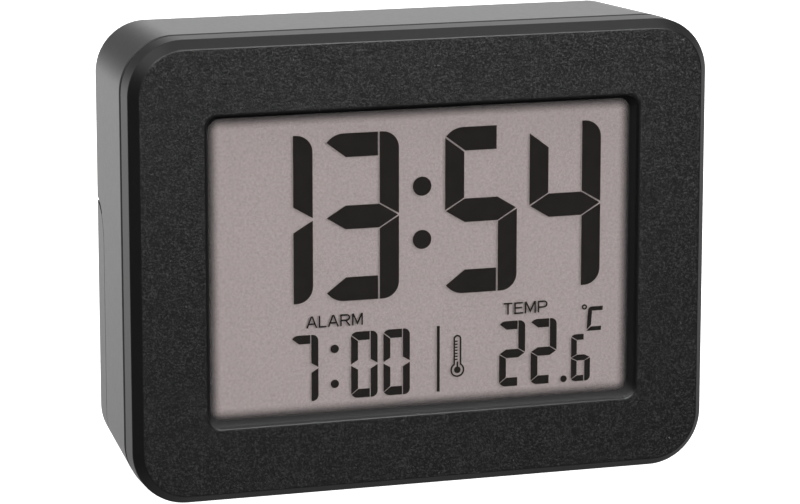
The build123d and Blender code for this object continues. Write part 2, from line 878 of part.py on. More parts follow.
def make_cell(plus_side, z):
    """Round cell along X, with its positive end on the side given."""
    can_length = cell_length - nub_length
    can = Rot(0, 90, 0) * Cylinder(cell_diameter / 2, can_length)
    can = fillet(can.edges(), cell_edge_radius)
    nub = Pos(plus_side * (can_length + nub_length) / 2, 0, 0) * Rot(0, 90, 0)
    nub = nub * Cylinder(nub_diameter / 2, nub_length)
    cell = Pos(-plus_side * nub_length / 2, 0, 0) * (can + nub)
    return Pos(0, y_at(cell_depth), z) * cell


def contact_tail_places():
    """Where the tails of the two outer contacts pass through the well's floor: plus, then minus."""
    x = -(well_width - contact_thickness) / 2
    return [(x, well_middle + cell_rise), (x, well_middle - cell_rise)]


def contact_tip_part(side, z, negative):
    """Pressed cone under a positive end, or arched leaf under a negative end."""
    reach = contact_room - contact_thickness
    base_x = side * (well_width / 2 - contact_thickness)
    if not negative:
        turn = Pos(base_x - side * reach / 2, y_at(cell_depth), z) * Rot(0, -90 * side, 0)
        return turn * Cone(contact_width / 2, contact_tip / 2, reach)
    half = leaf_reach / 2
    flat = leaf_flat / 2
    outer = Polygon((0, half), (reach, flat), (reach, -flat), (0, -half), align=None)
    inner = Polygon(
        (0, half - 2 * contact_thickness),
        (reach - contact_thickness, flat - contact_thickness / 2),
        (reach - contact_thickness, contact_thickness / 2 - flat),
        (0, 2 * contact_thickness - half),
        align=None,
    )
    strip = face_plane(cell_depth - leaf_width / 2) * (outer - inner)
    strip = extrude(strip, leaf_width, dir=(0, 1, 0))
    if side > 0:
        strip = mirror(strip, Plane.YZ)
    return Pos(base_x, 0, z) * strip


def make_contacts():
    plate_x = (well_width - contact_thickness) / 2
    height = cell_diameter - cell_clearance
    front = cell_depth - contact_width / 2
    nodes = {}
    for name, (x, z), negative in (
        ("battery_contact_positive", contact_tail_places()[0], False),
        ("battery_contact_negative", contact_tail_places()[1], True),
    ):
        contact = plate(contact_thickness, height, front, contact_width, x, z)
        contact += contact_tip_part(-1, z, negative)
        tail_front = well_front - tail_length
        contact += plate(contact_thickness, tail_width, tail_front, front - tail_front, x, z)
        nodes[name] = contact
    bridge = plate(
        contact_thickness, height + 2 * cell_rise, front, contact_width, plate_x, well_middle
    )
    bridge += contact_tip_part(1, well_middle - cell_rise, False)
    bridge += contact_tip_part(1, well_middle + cell_rise, True)
    nodes["battery_contact_bridge"] = bridge
    return nodes


# Lit segments of each sign: a top, b and c right, d bottom, e and f left, g middle
segments_of = {
    "0": "abcdef", "1": "bc", "2": "abged", "3": "abgcd", "4": "fgbc",
    "5": "afgcd", "6": "afgedc", "7": "abc",
}


def segment_face(letter, width, height, side, bar, gap):
    """One segment of a sign whose lower left corner is at the origin."""
    middle = height / 2
    nick = bar_tip_drop * bar
    if letter in "ad":
        points = [
            (gap / 2, height - nick),
            (bar_arch_start * width, height),
            (width - side - gap, height),
            (width - side - gap, height - bar),
            (side + gap / 2, height - bar),
        ]
        corner = (points[1], bar_arch_radius * width)
    elif letter in "bc":
        points = [
            (width - side, height),
            (width, height),
            (width, middle + gap * 2 / 3),
            (width - side, middle + bar / 2 + gap / 2),
        ]
        corner = (points[1], shoulder_radius * side)
    elif letter in "ef":
        points = [
            (0, height - nick - gap * 2 / 3),
            (side, height - bar - gap * 2 / 3),
            (side, middle + bar / 2 + gap / 2),
            (0, middle + gap * 2 / 3),
        ]
        corner = None
    else:
        points = [
            (gap / 2, middle),
            (side + gap / 3, middle + bar / 2),
            (width - side - gap / 3, middle + bar / 2),
            (width - gap / 2, middle),
            (width - side - gap / 3, middle - bar / 2),
            (side + gap / 3, middle - bar / 2),
        ]
        corner = None
    face = Polygon(*points, align=None)
    if corner:
        (x, z), radius = corner
        near = face.vertices().sort_by_distance((x, z, 0))[0]
        face = fillet(near, radius)
    if letter in "cde":
        face = Pos(0, height) * mirror(face, Plane.XZ)
    return face


def sign(text, x, z, width, height, side, bar, gap):
    """Solid segments of one sign, with its lower left corner at x and z."""
    place = Pos(x, z)
    return [
        slab(place * segment_face(letter, width, height, side, bar, gap), segment_front, cell_gap)
        for letter in segments_of[text]
    ]


def dot(radius, x, z):
    return disc(radius, segment_front, cell_gap, x, z)


def make_time_digits():
    step = time_width + time_spacing
    hours_right = colon_x - colon_room
    minutes_left = colon_x + colon_room
    lefts = (
        hours_right - step - time_width, hours_right - time_width, minutes_left, minutes_left + step
    )
    size = (time_width, time_height, time_side, time_bar, segment_gap)
    solids = []
    for text, left in zip(time_text, lefts):
        solids += sign(text, left, time_foot, *size)
    for up in (-1, 1):
        solids.append(dot(colon_radius, colon_x, time_foot + time_height / 2 + up * colon_half_rise))
    return Compound(solids)


def make_alarm_digits():
    step = small_width + small_spacing
    tens_left = alarm_right - small_width - step
    colon = tens_left - alarm_colon_room
    hour_left = colon - alarm_colon_room - small_width
    size = (small_width, small_height, small_side, small_bar, small_segment_gap)
    solids = []
    for text, left in (("7", hour_left), ("0", tens_left), ("0", tens_left + step)):
        solids += sign(text, left, small_foot, *size)
    for up in (-1, 1):
        rise = small_foot + small_height / 2 + up * alarm_colon_half_rise
        solids.append(dot(alarm_colon_radius, colon, rise))
    return Compound(solids)


def unit_mark():
    """Solids of the slanted letter after the temperature: a hooked arm and a separate foot."""
    top = unit_height
    stroke = unit_stroke

    def slanted(*points):
        return Polygon(*[(x + unit_lean * z / unit_height, z) for x, z in points], align=None)

    arm = slanted(
        (0, unit_split), (0, top), (unit_width, top), (unit_width, top - stroke),
        (stroke, top - stroke), (stroke, stroke + unit_split),
    )
    arm = fillet(arm.vertices().sort_by_distance((unit_lean, top, 0))[0], stroke)
    foot = slanted((0, 0), (unit_foot_width, 0), (unit_foot_width, stroke), (stroke, stroke))
    place = Pos(unit_left, unit_foot)
    return [slab(place * face, segment_front, cell_gap) for face in (arm, foot)]


def make_temperature_digits():
    size = (small_width, small_height, small_side, small_bar, small_segment_gap)
    solids = sign("2", temperature_left, small_foot, *size)
    solids += sign("2", temperature_right - small_width, small_foot, *size)
    solids.append(dot(point_radius, temperature_right + point_room, small_foot + point_radius))
    tenth = (tenth_width, tenth_height, tenth_stroke, tenth_stroke, small_segment_gap)
    solids += sign("6", tenth_left, small_foot, *tenth)
    solids += unit_mark()
    degree_z = unit_foot + unit_height + degree_gap
    solids.append(dot(degree_radius, degree_x, degree_z) - dot(degree_hole, degree_x, degree_z))
    return Compound(solids)


def make_symbols():
    """Divider bar and thermometer mark."""
    divider = plate(
        divider_width, small_height, segment_front, cell_gap, divider_x, small_foot + small_height / 2
    )
    bulb_z = small_foot + thermometer_bulb_rise
    top_z = small_foot + thermometer_height - thermometer_stem_width / 2
    stem_height = top_z - bulb_z

    def pear(inset):
        radius = thermometer_stem_width / 2 - inset
        bulb = Pos(thermometer_x, bulb_z) * Circle(thermometer_bulb_radius - inset)
        cap = Pos(thermometer_x, top_z) * Circle(radius)
        stem = Pos(thermometer_x, bulb_z + stem_height / 2) * Rectangle(2 * radius, stem_height)
        return bulb + cap + stem

    outer = pear(0) - pear(thermometer_line)
    core_height = thermometer_core_rise - thermometer_bulb_rise
    core = Pos(thermometer_x, bulb_z) * Circle(thermometer_core_radius)
    core += Pos(thermometer_x, bulb_z + core_height / 2) * Rectangle(thermometer_line, core_height)
    tick_step = (top_z - bulb_z - core_height) / (thermometer_tick_count + 0.5)
    for index in range(thermometer_tick_count):
        rise = bulb_z + core_height + (index + 0.75) * tick_step
        tick = Rectangle(thermometer_tick_length, thermometer_tick_width)
        reach = thermometer_stem_width / 2 - thermometer_tick_length / 2
        outer += Pos(thermometer_x - reach, rise) * tick
    return Compound([divider, slab(outer, segment_front, cell_gap), slab(core, segment_front, cell_gap)])


def make_parts():
    """Every piece of the clock, by node name."""
    block = rear_block()
    nodes = {
        "front_frame": make_front_frame(),
        "window_lens": plate(
            window_width + 2 * lens_overlap,
            window_height + 2 * lens_overlap,
            lens_front,
            lens_thickness,
            radius=window_corner_radius,
        ),
        "lcd_time_digits": make_time_digits(),
        "lcd_alarm_digits": make_alarm_digits(),
        "lcd_temperature_digits": make_temperature_digits(),
        "lcd_symbols": make_symbols(),
        "lcd_holder": make_lcd_holder(),
        "circuit_board": make_circuit_board(),
        "rear_shell": make_rear_shell(block),
        "battery_cover": make_battery_cover(block),
        "battery_cell_upper": make_cell(-1, well_middle + cell_rise),
        "battery_cell_lower": make_cell(1, well_middle - cell_rise),
        "key_board": make_key_board(),
        "key_switches": make_key_switches(),
        "key_board_ribbon": make_ribbon(),
        "rubber_feet": Compound(feet()),
    }
    for group in (
        make_display(), make_zebra_strips(), make_board_parts(), make_screws(), make_keys(),
        make_slide_switch(), make_buzzer(), make_leads(), make_contacts(),
    ):
        nodes.update(group)
    return nodes


os.makedirs("parts", exist_ok=True)
for node, shape in make_parts().items():
    export_step(shape, f"parts/{node}.step")
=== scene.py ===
"""Looks of a desk alarm clock with a liquid crystal display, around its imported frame. Metres."""

import math

import bmesh
import bpy
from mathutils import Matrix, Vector


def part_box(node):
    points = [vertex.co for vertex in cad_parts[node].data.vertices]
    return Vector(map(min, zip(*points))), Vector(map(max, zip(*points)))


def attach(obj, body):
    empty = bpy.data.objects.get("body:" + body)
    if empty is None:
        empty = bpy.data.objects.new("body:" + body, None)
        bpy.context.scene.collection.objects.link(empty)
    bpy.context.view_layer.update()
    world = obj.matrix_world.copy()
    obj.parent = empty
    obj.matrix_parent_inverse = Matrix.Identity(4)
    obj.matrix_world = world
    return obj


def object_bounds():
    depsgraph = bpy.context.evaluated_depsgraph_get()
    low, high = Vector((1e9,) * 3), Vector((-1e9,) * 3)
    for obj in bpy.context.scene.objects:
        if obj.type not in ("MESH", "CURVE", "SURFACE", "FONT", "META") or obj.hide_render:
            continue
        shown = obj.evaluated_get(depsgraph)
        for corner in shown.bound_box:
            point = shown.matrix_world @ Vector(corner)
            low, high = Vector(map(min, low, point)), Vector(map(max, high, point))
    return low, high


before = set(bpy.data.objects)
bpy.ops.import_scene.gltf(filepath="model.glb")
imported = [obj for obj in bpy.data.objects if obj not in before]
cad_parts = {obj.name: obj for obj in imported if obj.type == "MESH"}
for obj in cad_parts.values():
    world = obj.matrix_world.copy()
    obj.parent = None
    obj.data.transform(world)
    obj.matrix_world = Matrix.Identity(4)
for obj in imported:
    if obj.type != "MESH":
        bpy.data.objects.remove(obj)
cad_low, cad_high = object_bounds()
MM = 0.001
ROOT = "case"
MIDDLE_HEIGHT = (cad_low.z + cad_high.z) / 2

# Camera of the photograph: its place, how far it turns and looks down, and its focal length
CAMERA_PLACE = (-0.194635, -0.616504, 0.172003)
CAMERA_DOWN = math.radians(11.656)
CAMERA_TURN = math.radians(-17.583)
CAMERA_LENS = 166.34
SENSOR_WIDTH = 36.0

# Light of the studio, by direction: white behind the clock, pale above, dim in front and at the sides,
# with a dark patch high on the left behind it and a bright one high on the left in front
LIGHT_BASE = 0.06
LIGHT_BACK = 1.02
LIGHT_TOP = 0.82
LIGHT_BELOW = 0.30
LIGHT_LOW_SHARE = 0.62
LIGHT_LOWEST_SHARE = 0.45
LIGHT_HIGH_SHARE = 0.80
LIGHT_RIGHT_SHARE = 0.15
# Limits of each change, in the component of the direction along one axis
BACK_SPAN = (0.1, 0.9)
LOW_SPAN = (-0.32, -0.12)
LOWEST_SPAN = (-0.75, -0.40)
HIGH_SPAN = (0.0, 0.25)
TOP_SPAN = (0.30, 0.80)
RIGHT_SPAN = (0.35, 0.75)
BELOW_SPAN = (-0.90, -0.35)
# Middle of each patch, and the angles in degrees at which it is full and gone
DARK_PATCH = Vector((-0.17, 0.95, 0.26)).normalized()
DARK_PATCH_REACH = (9, 24)
DARK_PATCH_SHARE = 0.80
BRIGHT_PATCH = Vector((-0.62, -0.20, 0.76)).normalized()
BRIGHT_PATCH_REACH = (12, 40)
BRIGHT_PATCH_GAIN = 1.3
FLOOR_RADIUS = 4.0
FLOOR_GLOW = 0.92
FLOOR_GAP = 0.02 * MM

# Window of the frame, as half width, half height and corner radius: where its bevel ends on the face,
# and its opening. Then how far and how much painted shade darkens the lens at the edges
WINDOW_MOUTH = (39.45 * MM, 27.5 * MM, 2.2 * MM)
WINDOW_THROAT = (38.5 * MM, 26.55 * MM, 2.2 * MM)
LENS_SHADE_REACH = 2.2 * MM
LENS_SHADE = 0.90
LENS_TINT = 0.03

# Finish of the front frame: its two tones, the size of its grain and how matt it is
FRAME_BLACK = (0.0024, 0.0024, 0.0024)
FRAME_GREY = (0.0145, 0.0145, 0.0146)
FACE_GRAIN = 0.36 * MM
FACE_SPECK = 0.30 * MM
FACE_RELIEF = 0.16 * MM
FACE_MATT_SHARE = 0.3
SIDE_TONE = 0.08
# Share of the painted light that is left deep on the window's lower bevel
SILL_PAINTED_LIGHT_INNER = 0.33
SMOOTH_ROUGHNESS = 0.36
MATT_ROUGHNESS = 0.95

# Segments of the display that are switched on, and its middle
SEGMENT_NODES = ("lcd_time_digits", "lcd_alarm_digits", "lcd_temperature_digits", "lcd_symbols")
DISPLAY_MIDDLE = (0.0, 0.0, MIDDLE_HEIGHT)

# Words on the display: left and right end from the middle of the window, and height of the capitals
WORD_BASE = -11.9 * MM
WORD_HEIGHT = 2.1 * MM
WORD_STROKE = 0.25 * MM
WORDS = {"ALARM": (-20.2 * MM, -9.8 * MM), "TEMP": (16.15 * MM, 24.45 * MM)}
LETTER_GAP = 0.09
BOWL_STEPS = 10

# Generic marks printed on the keys and beside the slide switch: text, height of the type, carrying body
KEY_MARKS = {
    "time_button": ("TIME", 2.1 * MM),
    "alarm_button": ("ALARM", 1.75 * MM),
    "up_button": ("+", 4.2 * MM),
    "down_button": ("\N{EN DASH}", 4.2 * MM),
    "snooze_button": ("SNOOZE", 3.2 * MM),
}
SWITCH_MARKS = {"OFF": -2.3 * MM, "ON": 2.3 * MM}
SWITCH_MARK_SIZE = 1.6 * MM
SWITCH_MARK_DROP = 2.9 * MM
PANEL_RECESS = 1.2 * MM
PRINT_THICKNESS = 0.03 * MM

# Lamps: place, point that they look at, width and power. Dull ones aren't mirrored by the surfaces
LAMPS = {
    "key_light": ((-0.20, -1.10, 0.26), DISPLAY_MIDDLE, 0.9, 20.0),
    "shadow_light": ((0.24, -1.20, 0.42), DISPLAY_MIDDLE, 0.15, 9.0),
    "case_light": ((0.06, -0.16, 0.25), (0.0, 0.0, 0.06), 0.12, 0.6),
    "brow_light": ((0.03, -0.10, 0.17), (0.0, 0.0, 0.07), 0.08, 0.30),
    "edge_light": ((-0.16, -0.30, 0.30), (-0.03, 0.0, 0.07), 0.10, 0.5),
    "back_light": ((0.45, 0.95, 0.45), (0.0, 0.0, 0.04), 0.5, 15.0),
    "left_light": ((-0.9, 0.12, 0.35), (0.0, 0.0, 0.04), 0.5, 5.0),
    "right_light": ((0.9, 0.12, 0.35), (0.0, 0.0, 0.04), 0.5, 11.0),
}
DULL_LAMPS = ("key_light", "shadow_light", "brow_light", "back_light", "left_light", "right_light")
FRAME_LAMPS = ("case_light", "brow_light", "edge_light")
SIDE_LAMPS = ("left_light", "right_light")


def node(tree, kind, **inputs):
    """New shader node, with its unlinked inputs set by name."""
    made = tree.nodes.new(kind)
    for name, value in inputs.items():
        made.inputs[name.replace("_", " ")].default_value = value
    return made


def new_material(name, **inputs):
    """Principled material with its constant inputs set on the shader's own sockets."""
    material = bpy.data.materials.new(name)
    material.use_nodes = True
    tree = material.node_tree
    shader = tree.nodes["Principled BSDF"]
    for key, value in inputs.items():
        socket = shader.inputs[key.replace("_", " ")]
        socket.default_value = (*value, 1.0) if isinstance(value, tuple) else value
    return material, tree, shader


def noise(tree, size, detail=2.0, roughness=0.5):
    """Noise over the object, with features of about the given size in metres."""
    place = tree.nodes.new("ShaderNodeTexCoord")
    made = node(tree, "ShaderNodeTexNoise", Scale=1.0 / size, Detail=detail, Roughness=roughness)
    tree.links.new(place.outputs["Object"], made.inputs["Vector"])
    return made.outputs["Fac"]


def ramp(tree, value, low, high, out_low, out_high):
    """Smooth step of a value between two limits."""
    made = tree.nodes.new("ShaderNodeMapRange")
    made.interpolation_type = "SMOOTHSTEP"
    limits = (low, high, out_low, out_high)
    for socket, limit in zip(("From Min", "From Max", "To Min", "To Max"), limits):
        made.inputs[socket].default_value = limit
    tree.links.new(value, made.inputs["Value"])
    return made.outputs["Result"]


def mix_colours(tree, share, first, second):
    """Colour between two colours, by a share that varies over the surface."""
    made = tree.nodes.new("ShaderNodeMix")
    made.data_type = "RGBA"
    made.inputs["A"].default_value = (*first, 1.0)
    made.inputs["B"].default_value = (*second, 1.0)
    tree.links.new(share, made.inputs["Factor"])
    return made.outputs["Result"]


def combine(tree, operation, first, second):
    """Math node on two values, either of which may be a number."""
    made = tree.nodes.new("ShaderNodeMath")
    made.operation = operation
    for socket, value in zip(made.inputs, (first, second)):
        if isinstance(value, (int, float)):
            socket.default_value = value
        else:
            tree.links.new(value, socket)
    return made.outputs["Value"]


def bump(tree, shader, height, strength, depth):
    """Relief of the given depth in metres. The strength may vary over the surface."""
    made = node(tree, "ShaderNodeBump", Distance=depth)
    if isinstance(strength, (int, float)):
        made.inputs["Strength"].default_value = strength
    else:
        tree.links.new(strength, made.inputs["Strength"])
    tree.links.new(height, made.inputs["Height"])
    tree.links.new(made.outputs["Normal"], shader.inputs["Normal"])


def facing(tree, axis):
    """Component of the surface direction along an axis."""
    shape = tree.nodes.new("ShaderNodeNewGeometry")
    parts = tree.nodes.new("ShaderNodeSeparateXYZ")
    tree.links.new(shape.outputs["Normal"], parts.inputs["Vector"])
    return parts.outputs[axis]


def position(tree, axis):
    """Place on the object along an axis."""
    place = tree.nodes.new("ShaderNodeTexCoord")
    parts = tree.nodes.new("ShaderNodeSeparateXYZ")
    tree.links.new(place.outputs["Object"], parts.inputs["Vector"])
    return parts.outputs[axis]


def edge_distance(tree, half_width, half_height, radius):
    """Distance inwards from the edge of an upright rounded rectangle round the middle of the window."""
    across = combine(tree, "ABSOLUTE", position(tree, "X"), 0.0)
    rise = combine(tree, "ABSOLUTE", combine(tree, "SUBTRACT", position(tree, "Z"), MIDDLE_HEIGHT), 0.0)
    past_side = combine(tree, "SUBTRACT", across, half_width - radius)
    past_end = combine(tree, "SUBTRACT", rise, half_height - radius)
    square_side = combine(tree, "POWER", combine(tree, "MAXIMUM", past_side, 0.0), 2.0)
    square_end = combine(tree, "POWER", combine(tree, "MAXIMUM", past_end, 0.0), 2.0)
    corner = combine(tree, "SQRT", combine(tree, "ADD", square_side, square_end), 0.0)
    inside = combine(tree, "MINIMUM", combine(tree, "MAXIMUM", past_side, past_end), 0.0)
    return combine(tree, "SUBTRACT", radius, combine(tree, "ADD", corner, inside))


def frame_plastic():
    """Black moulded plastic: grained face, smooth bevels and sides, matt bevel round the window with
    painted shade on its walls and painted light on its lower side.
    """
    material, tree, shader = new_material("frame_plastic_finish", Specular_IOR_Level=0.32)
    front = ramp(tree, facing(tree, "Y"), -0.985, -0.93, 1.0, 0.0)
    grain = noise(tree, FACE_GRAIN, detail=3.0, roughness=0.7)
    tone = ramp(tree, noise(tree, FACE_SPECK, detail=2.0, roughness=0.6), 0.47, 0.68, 0.0, 1.0)
    depth = edge_distance(tree, *WINDOW_MOUTH)
    recess = ramp(tree, depth, 0.2 * MM, 0.5 * MM, 0.0, 1.0)
    # Painted shade: inside the window's bevel the sides' tone is left out, so its walls are darker
    outside = ramp(tree, recess, 0.0, 1.0, 1.0, 0.0)
    shade = combine(tree, "MULTIPLY", ramp(tree, front, 0.0, 1.0, SIDE_TONE, 0.0), outside)
    tone = combine(tree, "ADD", combine(tree, "MULTIPLY", tone, front), shade)
    # Painted light: the window's lower bevel, which faces up, is painted paler, palest along its outer
    # edge as a painted highlight
    inside = ramp(tree, depth, 0.0, 0.1 * MM, 0.0, 1.0)
    pale = combine(tree, "MULTIPLY", inside, ramp(tree, depth, 0.2 * MM, 0.9 * MM, 1.0, SILL_PAINTED_LIGHT_INNER))
    sill_painted_light = combine(tree, "MULTIPLY", pale, ramp(tree, facing(tree, "Z"), 0.25, 0.7, 0.0, 1.0))
    tone = combine(tree, "MAXIMUM", tone, sill_painted_light)
    tree.links.new(mix_colours(tree, tone, FRAME_BLACK, FRAME_GREY), shader.inputs["Base Color"])
    matt = combine(tree, "MAXIMUM", combine(tree, "MULTIPLY", front, FACE_MATT_SHARE), recess)
    rough = ramp(tree, matt, 0.0, 1.0, SMOOTH_ROUGHNESS, MATT_ROUGHNESS)
    tree.links.new(rough, shader.inputs["Roughness"])
    bump(tree, shader, grain, front, FACE_RELIEF)
    return material


def satin_plastic(name, colour, lighter, roughness, grain_depth):
    """Smooth satin plastic with a faint grain and slight unevenness."""
    material, tree, shader = new_material(name)
    shade = mix_colours(tree, ramp(tree, noise(tree, 0.25 * MM), 0.55, 0.8, 0.0, 1.0), colour, lighter)
    tree.links.new(shade, shader.inputs["Base Color"])
    rough = ramp(tree, noise(tree, 1.2 * MM), 0.3, 0.7, roughness - 0.008, roughness + 0.008)
    tree.links.new(rough, shader.inputs["Roughness"])
    bump(tree, shader, noise(tree, 0.35 * MM, detail=3.0), 0.3, grain_depth)
    return material


def clear_layer(name, colour, alpha, roughness):
    """Clear sheet that lets light and shadow through."""
    material, tree, shader = new_material(name, Base_Color=colour, Alpha=alpha, IOR=1.49)
    rough = ramp(tree, noise(tree, 8.0 * MM), 0.3, 0.7, roughness, roughness + 0.03)
    tree.links.new(rough, shader.inputs["Roughness"])
    return material


def window_lens():
    """Clear sheet with painted shade: a soft dark band all round its front, just inside the frame's
    opening.
    """
    tint_and_painted_shade = (0.01, 0.01, 0.01)
    material, tree, shader = new_material("lens_clear_finish", Base_Color=tint_and_painted_shade, Roughness=0.05)
    # Painted shade: the lens darkens towards the edges of the opening, in place of the frame's shade on
    # the display
    shade = ramp(tree, edge_distance(tree, *WINDOW_THROAT), 0.0, LENS_SHADE_REACH, LENS_SHADE, 0.0)
    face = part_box("window_lens")[0].y
    front = ramp(tree, position(tree, "Y"), face + 0.05 * MM, face + 0.15 * MM, 1.0, 0.0)
    alpha = combine(tree, "ADD", combine(tree, "MULTIPLY", shade, front), LENS_TINT)
    tree.links.new(alpha, shader.inputs["Alpha"])
    return material


def reflector_film():
    """Pinkish grey reflector behind the crystal, with a fine sparkle."""
    name = "display_reflector_finish"
    material, tree, shader = new_material(name, Roughness=0.7, Specular_IOR_Level=0.2)
    fine = ramp(tree, noise(tree, 0.45 * MM, detail=2.0, roughness=0.7), 0.25, 0.75, 0.0, 1.0)
    colour = mix_colours(tree, fine, (0.205, 0.176, 0.173), (0.270, 0.232, 0.229))
    tree.links.new(colour, shader.inputs["Base Color"])
    bump(tree, shader, noise(tree, 0.2 * MM), 0.15, 0.02 * MM)
    return material


def display_ink():
    """Dark crystal of a segment that is switched on."""
    name = "display_ink_finish"
    material, tree, shader = new_material(name, Roughness=0.6, Specular_IOR_Level=0.1)
    tint = mix_colours(tree, noise(tree, 3.0 * MM), (0.0065, 0.0058, 0.0050), (0.0105, 0.0092, 0.0082))
    tree.links.new(tint, shader.inputs["Base Color"])
    return material


def mottled(name, colour, lighter, size, roughness, metallic=0.0):
    """Matt or metal surface, uneven at one size."""
    material, tree, shader = new_material(name, Metallic=metallic)
    shade = mix_colours(tree, noise(tree, size, detail=3.0), colour, lighter)
    tree.links.new(shade, shader.inputs["Base Color"])
    rough = ramp(tree, noise(tree, size), 0.3, 0.7, roughness - 0.05, roughness + 0.05)
    tree.links.new(rough, shader.inputs["Roughness"])
    bump(tree, shader, noise(tree, size / 3), 0.2, 0.02 * MM)
    return material


def cell_jacket():
    """Printed sleeve of a cell, with bare metal ends."""
    material, tree, shader = new_material("cell_jacket_finish", Roughness=0.3)
    low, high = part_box("battery_cell_upper")
    end = (high.x - low.x) / 2 - 1.6 * MM
    reach = combine(tree, "ABSOLUTE", position(tree, "X"), 0.0)
    metal = ramp(tree, reach, end, end + 0.05 * MM, 0.0, 1.0)
    band = ramp(tree, position(tree, "X"), -0.5 * MM, 0.5 * MM, 0.0, 1.0)
    sleeve = mix_colours(tree, band, (0.02, 0.05, 0.11), (0.42, 0.43, 0.44))
    made = tree.nodes.new("ShaderNodeMix")
    made.data_type = "RGBA"
    tree.links.new(metal, made.inputs["Factor"])
    tree.links.new(sleeve, made.inputs["A"])
    made.inputs["B"].default_value = (0.62, 0.61, 0.59, 1.0)
    tree.links.new(made.outputs["Result"], shader.inputs["Base Color"])
    tree.links.new(metal, shader.inputs["Metallic"])
    return material


def finishes():
    """Material of each slot of the record."""
    return {
        "frame_plastic": frame_plastic(),
        "shell_plastic": satin_plastic(
            "shell_plastic_finish", (0.0165, 0.0165, 0.017), (0.022, 0.022, 0.023), 0.30, 0.02 * MM
        ),
        "lens_clear": window_lens(),
        "display_film": clear_layer("display_film_finish", (0.03, 0.028, 0.027), 0.04, 0.2),
        "display_glass": clear_layer("display_glass_finish", (0.02, 0.021, 0.02), 0.015, 0.04),
        "display_reflector": reflector_film(),
        "display_seal": mottled(
            "display_seal_finish", (0.10, 0.10, 0.09), (0.14, 0.13, 0.12), 1 * MM, 0.6
        ),
        "display_ink": display_ink(),
        "holder_plastic": satin_plastic(
            "holder_plastic_finish", (0.50, 0.50, 0.48), (0.55, 0.55, 0.53), 0.5, 0.02 * MM
        ),
        "contact_rubber": mottled(
            "contact_rubber_finish", (0.03, 0.03, 0.03), (0.3, 0.12, 0.10), 1 * MM, 0.7
        ),
        "board_laminate": mottled(
            "board_laminate_finish", (0.02, 0.10, 0.04), (0.03, 0.14, 0.06), 4 * MM, 0.4
        ),
        "black_resin": mottled(
            "black_resin_finish", (0.01, 0.01, 0.01), (0.02, 0.02, 0.02), 2 * MM, 0.25
        ),
        "steel": mottled("steel_finish", (0.50, 0.50, 0.50), (0.62, 0.61, 0.60), 0.8 * MM, 0.32, 1.0),
        "switch_plastic": satin_plastic(
            "switch_plastic_finish", (0.02, 0.02, 0.02), (0.03, 0.03, 0.03), 0.45, 0.01 * MM
        ),
        "key_plastic": satin_plastic(
            "key_plastic_finish", (0.030, 0.030, 0.031), (0.038, 0.038, 0.039), 0.48, 0.02 * MM
        ),
        "ribbon_grey": mottled("ribbon_grey_finish", (0.35, 0.35, 0.36), (0.45, 0.45, 0.46), 1 * MM, 0.5),
        "brass": mottled("brass_finish", (0.55, 0.40, 0.16), (0.65, 0.50, 0.22), 2 * MM, 0.3, 1.0),
        "ceramic": mottled("ceramic_finish", (0.62, 0.58, 0.50), (0.70, 0.66, 0.58), 2 * MM, 0.5),
        "lead_red": mottled("lead_red_finish", (0.45, 0.02, 0.02), (0.55, 0.03, 0.03), 1 * MM, 0.4),
        "lead_black": mottled(
            "lead_black_finish", (0.015, 0.015, 0.015), (0.025, 0.025, 0.025), 1 * MM, 0.4
        ),
        "cell_jacket": cell_jacket(),
        "foot_rubber": mottled(
            "foot_rubber_finish", (0.03, 0.03, 0.03), (0.045, 0.045, 0.045), 0.6 * MM, 0.8
        ),
    }


def dress_nodes(materials):
    """Gives each node the finish of its slot."""
    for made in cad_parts.values():
        slot = made.data.materials[0].name.split(".")[0]
        made.material_slots[0].material = materials[slot]


def bowl(left, low, right, high):
    """Open loop of a letter: along its top, round its right end and back along its foot."""
    radius = (high - low) / 2
    turns = [math.pi / 2 - math.pi * step / BOWL_STEPS for step in range(BOWL_STEPS + 1)]
    middle = (low + high) / 2
    round_end = [(right - radius + radius * math.cos(a), middle + radius * math.sin(a)) for a in turns]
    return [(left, high), *round_end, (left, low)]


def letter_strokes(letter):
    """Width of a capital and the middle lines of its strokes, in shares of its height."""
    return {
        "A": (0.93, [
            [(0.06, 0.0), (0.42, 0.94), (0.51, 0.94), (0.87, 0.0)], [(0.22, 0.34), (0.71, 0.34)],
        ]),
        "E": (0.80, [
            [(0.74, 0.94), (0.10, 0.94), (0.10, 0.06), (0.76, 0.06)], [(0.10, 0.52), (0.69, 0.52)],
        ]),
        "L": (0.72, [[(0.10, 1.0), (0.10, 0.06), (0.68, 0.06)]]),
        "M": (1.00, [
            [(0.10, 0.0), (0.10, 1.0)],
            [(0.12, 1.0), (0.50, 0.16), (0.88, 1.0)],
            [(0.90, 1.0), (0.90, 0.0)],
        ]),
        "P": (0.84, [[(0.10, 0.0), (0.10, 1.0)], bowl(0.10, 0.45, 0.80, 0.94)]),
        "R": (0.92, [
            [(0.10, 0.0), (0.10, 1.0)], bowl(0.10, 0.48, 0.82, 0.94), [(0.50, 0.48), (0.86, 0.0)],
        ]),
        "T": (0.80, [[(0.04, 0.94), (0.76, 0.94)], [(0.40, 0.94), (0.40, 0.0)]]),
    }[letter]


def add_stroke(shape, points, width, depth):
    """Flat ribbon of the given width along a line in X and Z, with mitred corners."""
    line = [Vector(point) for point in points]
    pairs = []
    for index, place in enumerate(line):
        before = (place - line[index - 1]).normalized() if index > 0 else None
        after = (line[index + 1] - place).normalized() if index < len(line) - 1 else None
        along = ((before or after) + (after or before)).normalized()
        across = Vector((-along.y, along.x))
        reach = width / 2 / max(0.35, along.dot(after or before))
        ends = (place - across * reach, place + across * reach)
        pairs.append([shape.verts.new((spot.x, depth, spot.y)) for spot in ends])
    for (first_low, first_high), (next_low, next_high) in zip(pairs, pairs[1:]):
        shape.faces.new((first_low, next_low, next_high, first_high))


